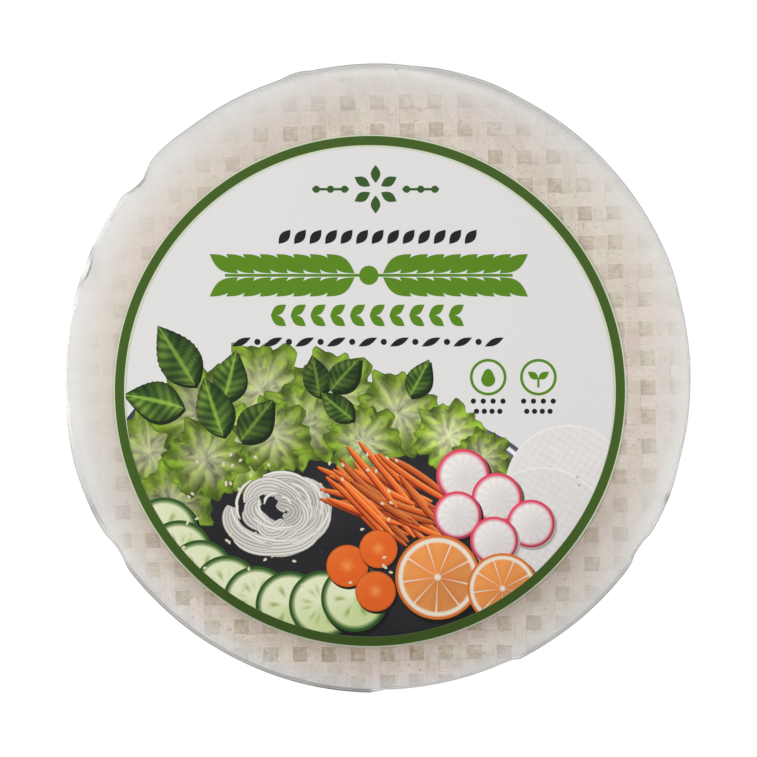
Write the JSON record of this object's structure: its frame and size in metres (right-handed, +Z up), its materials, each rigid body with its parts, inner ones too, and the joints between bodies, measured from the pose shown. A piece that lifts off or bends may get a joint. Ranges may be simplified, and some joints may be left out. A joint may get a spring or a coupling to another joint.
{
  "type": "rice paper wrapper stack",
  "caption": "Flat round stack of dried rice papers sealed in tight clear film, with a thin seam around its rim and a round printed paper label on top.",
  "frame": {"origin": "centre of the whole thing's bounding box seen from above, on the surface that the stack lies on", "axes": "+Z up through the stack's thickness, out of the label's face; +Y towards the top edge of the label's print, +X to its right"},
  "size_m": [0.2226, 0.2236, 0.0126],
  "materials": {
    "rice_paper": "dry, brittle translucent sheet, off-white, satin, with the imprint of an open woven mat",
    "label_paper": "coated white paper, semi-gloss, printed in green, dark slate, orange and black",
    "clear_film": "thin clear shrink film, glossy, slightly milky where it is creased"
  },
  "bodies": {
    "root": {"sealed_pack": "rice_paper", "label": "label_paper"}
  },
  "joints": []
}
